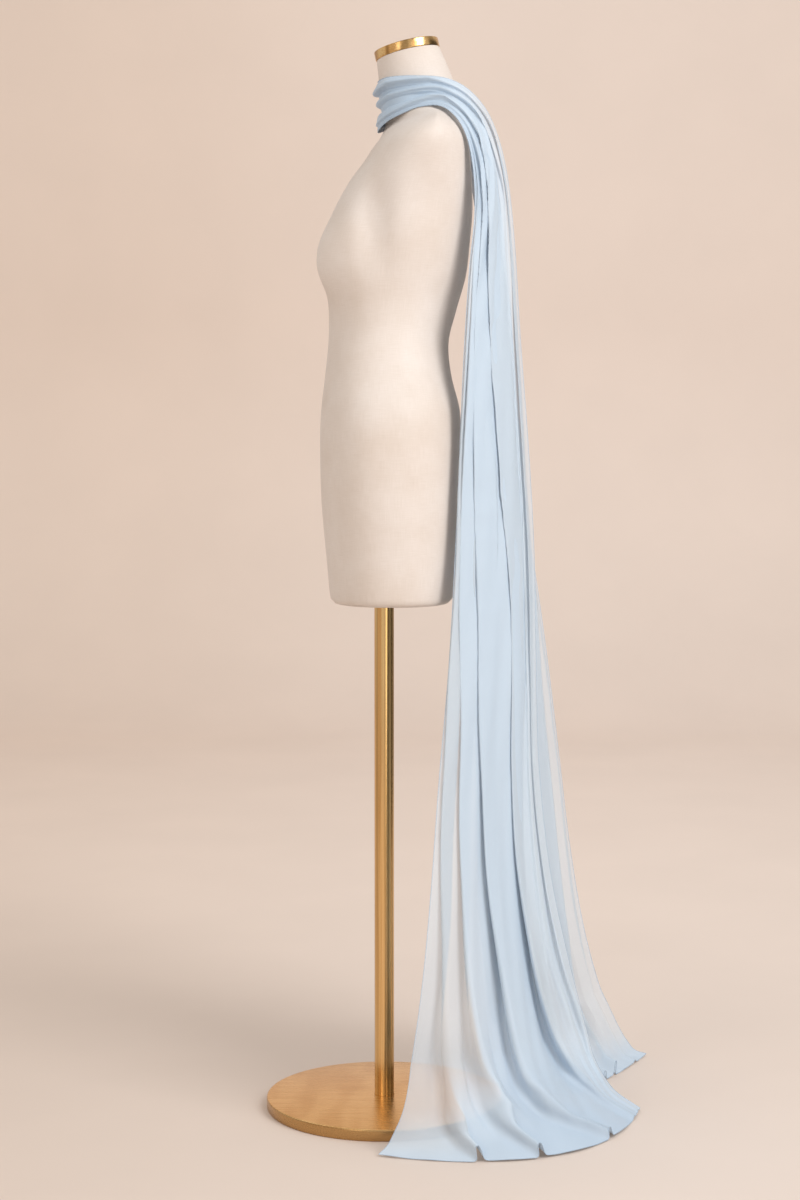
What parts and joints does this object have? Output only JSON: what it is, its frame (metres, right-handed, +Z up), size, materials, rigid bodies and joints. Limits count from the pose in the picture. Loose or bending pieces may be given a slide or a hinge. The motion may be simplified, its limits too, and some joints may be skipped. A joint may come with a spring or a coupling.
{
  "type": "chiffon scarf on a limbless dress form",
  "caption": "Long sheer chiffon scarf wound across the throat of a limbless dress form on a brass stand, its ends falling down the back in soft pipes and trailing on the floor.",
  "frame": {"origin": "centre of the base disc's underside, on the floor and on the pole's axis", "axes": "+Z up, -Y the way the form's front faces, +X the form's left side"},
  "size_m": [0.56, 0.6266, 1.6494],
  "materials": {
    "chiffon": "sheer matte chiffon, powder blue, fine crepe weave",
    "linen": "smooth cream linen jersey stretched over the form",
    "brass": "satin brushed brass"
  },
  "bodies": {
    "root": {"scarf_neck_wrap": "chiffon", "scarf_left_fall": "chiffon", "scarf_right_fall": "chiffon", "scarf_left_train": "chiffon", "scarf_right_train": "chiffon", "form_torso": "linen", "neck_cap": "brass", "stand_pole": "brass", "base_disc": "brass"}
  },
  "joints": []
}
